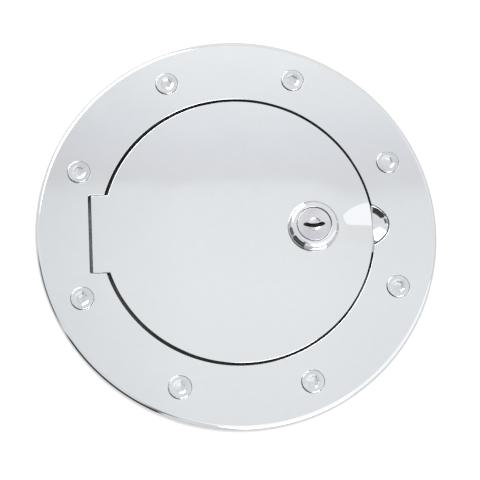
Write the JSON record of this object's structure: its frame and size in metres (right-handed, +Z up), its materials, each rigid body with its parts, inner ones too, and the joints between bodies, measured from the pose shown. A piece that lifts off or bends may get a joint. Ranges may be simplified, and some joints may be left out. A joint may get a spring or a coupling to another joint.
{
  "type": "flush locking deck fill door",
  "caption": "Round chrome flange with a hinged, key-locking door over a fill opening, a finger pull and through-bolts for a deck.",
  "frame": {"origin": "centre of the mounting plane, which is the deck's surface and the gasket's underside", "axes": "+Z up out of the deck; +X from the centre towards the lock and the finger pull; the hinge pin lies along Y on the -X side"},
  "size_m": [0.184, 0.184, 0.0308],
  "materials": {
    "ring_chrome": "mirror-polished plate",
    "door_chrome": "mirror-polished plate",
    "lock_chrome": "bright plate",
    "gasket_rubber": "matt black",
    "seal_rubber": "matt black",
    "pin_steel": "ground stainless",
    "spring_steel": "drawn wire",
    "retainer_steel": "stamped stainless",
    "fastener_steel": "stainless",
    "zinc_plate": "zinc-plated",
    "wafer_brass": "stamped"
  },
  "bodies": {
    "flange": {"deck_ring": "ring_chrome", "deck_gasket": "gasket_rubber", "door_seal": "seal_rubber", "hinge_pin": "pin_steel", "hinge_spring": "spring_steel", "pin_retainer_1": "retainer_steel", "pin_retainer_2": "retainer_steel", "retainer_screw_1": "fastener_steel", "retainer_screw_2": "fastener_steel", "deck_screw_1": "fastener_steel", "deck_screw_2": "fastener_steel", "deck_screw_3": "fastener_steel", "deck_screw_4": "fastener_steel", "deck_screw_5": "fastener_steel", "deck_screw_6": "fastener_steel", "deck_screw_7": "fastener_steel", "deck_screw_8": "fastener_steel", "deck_washer_1": "fastener_steel", "deck_washer_2": "fastener_steel", "deck_washer_3": "fastener_steel", "deck_washer_4": "fastener_steel", "deck_washer_5": "fastener_steel", "deck_washer_6": "fastener_steel", "deck_washer_7": "fastener_steel", "deck_washer_8": "fastener_steel", "deck_nut_1": "fastener_steel", "deck_nut_2": "fastener_steel", "deck_nut_3": "fastener_steel", "deck_nut_4": "fastener_steel", "deck_nut_5": "fastener_steel", "deck_nut_6": "fastener_steel", "deck_nut_7": "fastener_steel", "deck_nut_8": "fastener_steel"},
    "lid": {"door": "door_chrome", "lock_housing": "lock_chrome", "lock_seal": "seal_rubber", "lock_nut": "zinc_plate"},
    "lock_core": {"lock_plug": "lock_chrome", "lock_wafer_1": "wafer_brass", "lock_wafer_2": "wafer_brass", "lock_wafer_3": "wafer_brass", "lock_wafer_4": "wafer_brass", "lock_wafer_5": "wafer_brass", "stop_washer": "zinc_plate", "lock_cam": "zinc_plate", "cam_washer": "zinc_plate", "cam_screw": "fastener_steel"}
  },
  "joints": [
    {"name": "door_hinge", "type": "hinge", "parent": "flange", "child": "lid", "pos_m": [-0.0631, 0, 0.0045], "axis": [0, -1, 0], "range_deg": [0, 100], "stiffness_Nm_per_rad": 0.03, "springref_deg": -34.38, "deforming": ["hinge_spring"]},
    {"name": "lock_turn", "type": "hinge", "parent": "lid", "child": "lock_core", "pos_m": [0.0346, 0, 0.008], "axis": [0, 0, 1], "range_deg": [0, 90]}
  ]
}
